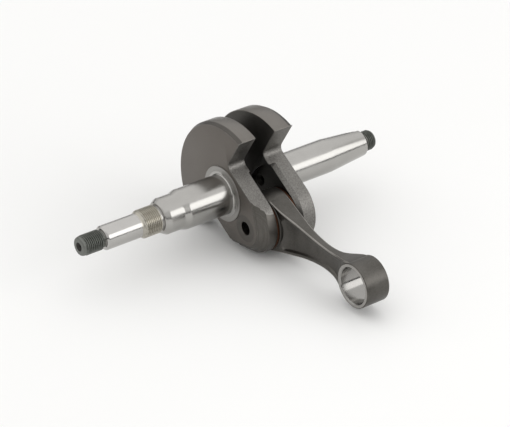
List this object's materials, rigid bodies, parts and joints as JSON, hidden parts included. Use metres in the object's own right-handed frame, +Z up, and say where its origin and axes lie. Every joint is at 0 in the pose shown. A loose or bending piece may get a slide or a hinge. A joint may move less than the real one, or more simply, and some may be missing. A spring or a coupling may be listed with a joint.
{
  "type": "crankshaft",
  "caption": "Built-up two-stroke crankshaft: two forged halves with counterweights and stub shafts on a hollow pin, with a forged I-beam connecting rod on a caged roller bearing.",
  "frame": {"origin": "where the crank axis crosses the mid-plane of the connecting rod", "axes": "+X along the crank axis from the clutch end to the flywheel end; +Z up; the connecting rod points to -Y at rest"},
  "size_m": [0.1734, 0.1346, 0.0627],
  "materials": {
    "forged_steel": "satin grey machined and forged steel; bright ground shafts",
    "rod_steel": "satin dark forged steel with ground end faces",
    "ground_steel": "fine ground bright steel",
    "bearing_steel": "polished bearing steel",
    "cage_steel": "satin pressed steel",
    "copper_plate": "dull copper-plated steel"
  },
  "bodies": {
    "crank": {"left_crank_half": "forged_steel", "right_crank_half": "forged_steel", "crank_pin": "ground_steel"},
    "rod": {"connecting_rod": "rod_steel"},
    "cage": {"big_end_cage": "cage_steel"},
    "washer_left": {"thrust_washer_left": "copper_plate"},
    "washer_right": {"thrust_washer_right": "copper_plate"},
    "roller_01": {"big_end_roller_01": "bearing_steel"},
    "roller_02": {"big_end_roller_02": "bearing_steel"},
    "roller_03": {"big_end_roller_03": "bearing_steel"},
    "roller_04": {"big_end_roller_04": "bearing_steel"},
    "roller_05": {"big_end_roller_05": "bearing_steel"},
    "roller_06": {"big_end_roller_06": "bearing_steel"},
    "roller_07": {"big_end_roller_07": "bearing_steel"},
    "roller_08": {"big_end_roller_08": "bearing_steel"},
    "roller_09": {"big_end_roller_09": "bearing_steel"},
    "roller_10": {"big_end_roller_10": "bearing_steel"},
    "roller_11": {"big_end_roller_11": "bearing_steel"},
    "roller_12": {"big_end_roller_12": "bearing_steel"},
    "roller_13": {"big_end_roller_13": "bearing_steel"},
    "roller_14": {"big_end_roller_14": "bearing_steel"}
  },
  "joints": [
    {"name": "rod_swing", "type": "hinge", "parent": "crank", "child": "rod", "pos_m": [0, -0.01792, -0.01094], "axis": [1, 0, 0], "continuous": true},
    {"name": "cage_spin", "type": "hinge", "parent": "crank", "child": "cage", "pos_m": [0, -0.01792, -0.01094], "axis": [1, 0, 0], "continuous": true},
    {"name": "washer_left_spin", "type": "hinge", "parent": "crank", "child": "washer_left", "pos_m": [0, -0.01792, -0.01094], "axis": [1, 0, 0], "continuous": true},
    {"name": "washer_right_spin", "type": "hinge", "parent": "crank", "child": "washer_right", "pos_m": [0, -0.01792, -0.01094], "axis": [1, 0, 0], "continuous": true},
    {"name": "roller_01_spin", "type": "hinge", "parent": "cage", "child": "roller_01", "pos_m": [0, -0.00942, -0.01094], "axis": [1, 0, 0], "continuous": true},
    {"name": "roller_02_spin", "type": "hinge", "parent": "cage", "child": "roller_02", "pos_m": [0, -0.01027, -0.00725], "axis": [1, 0, 0], "continuous": true},
    {"name": "roller_03_spin", "type": "hinge", "parent": "cage", "child": "roller_03", "pos_m": [0, -0.01263, -0.0043], "axis": [1, 0, 0], "continuous": true},
    {"name": "roller_04_spin", "type": "hinge", "parent": "cage", "child": "roller_04", "pos_m": [0, -0.01603, -0.00265], "axis": [1, 0, 0], "continuous": true},
    {"name": "roller_05_spin", "type": "hinge", "parent": "cage", "child": "roller_05", "pos_m": [0, -0.01982, -0.00265], "axis": [1, 0, 0], "continuous": true},
    {"name": "roller_06_spin", "type": "hinge", "parent": "cage", "child": "roller_06", "pos_m": [0, -0.02322, -0.0043], "axis": [1, 0, 0], "continuous": true},
    {"name": "roller_07_spin", "type": "hinge", "parent": "cage", "child": "roller_07", "pos_m": [0, -0.02558, -0.00725], "axis": [1, 0, 0], "continuous": true},
    {"name": "roller_08_spin", "type": "hinge", "parent": "cage", "child": "roller_08", "pos_m": [0, -0.02643, -0.01094], "axis": [1, 0, 0], "continuous": true},
    {"name": "roller_09_spin", "type": "hinge", "parent": "cage", "child": "roller_09", "pos_m": [0, -0.02558, -0.01463], "axis": [1, 0, 0], "continuous": true},
    {"name": "roller_10_spin", "type": "hinge", "parent": "cage", "child": "roller_10", "pos_m": [0, -0.02322, -0.01759], "axis": [1, 0, 0], "continuous": true},
    {"name": "roller_11_spin", "type": "hinge", "parent": "cage", "child": "roller_11", "pos_m": [0, -0.01982, -0.01923], "axis": [1, 0, 0], "continuous": true},
    {"name": "roller_12_spin", "type": "hinge", "parent": "cage", "child": "roller_12", "pos_m": [0, -0.01603, -0.01923], "axis": [1, 0, 0], "continuous": true},
    {"name": "roller_13_spin", "type": "hinge", "parent": "cage", "child": "roller_13", "pos_m": [0, -0.01263, -0.01759], "axis": [1, 0, 0], "continuous": true},
    {"name": "roller_14_spin", "type": "hinge", "parent": "cage", "child": "roller_14", "pos_m": [0, -0.01027, -0.01463], "axis": [1, 0, 0], "continuous": true}
  ],
  "couplings": [
    {"joint": "cage_spin", "follows": "rod_swing", "ratio": 0.58823},
    {"joint": "roller_01_spin", "follows": "rod_swing", "ratio": 2.7451},
    {"joint": "roller_02_spin", "follows": "rod_swing", "ratio": 2.7451},
    {"joint": "roller_03_spin", "follows": "rod_swing", "ratio": 2.7451},
    {"joint": "roller_04_spin", "follows": "rod_swing", "ratio": 2.7451},
    {"joint": "roller_05_spin", "follows": "rod_swing", "ratio": 2.7451},
    {"joint": "roller_06_spin", "follows": "rod_swing", "ratio": 2.7451},
    {"joint": "roller_07_spin", "follows": "rod_swing", "ratio": 2.7451},
    {"joint": "roller_08_spin", "follows": "rod_swing", "ratio": 2.7451},
    {"joint": "roller_09_spin", "follows": "rod_swing", "ratio": 2.7451},
    {"joint": "roller_10_spin", "follows": "rod_swing", "ratio": 2.7451},
    {"joint": "roller_11_spin", "follows": "rod_swing", "ratio": 2.7451},
    {"joint": "roller_12_spin", "follows": "rod_swing", "ratio": 2.7451},
    {"joint": "roller_13_spin", "follows": "rod_swing", "ratio": 2.7451},
    {"joint": "roller_14_spin", "follows": "rod_swing", "ratio": 2.7451}
  ]
}
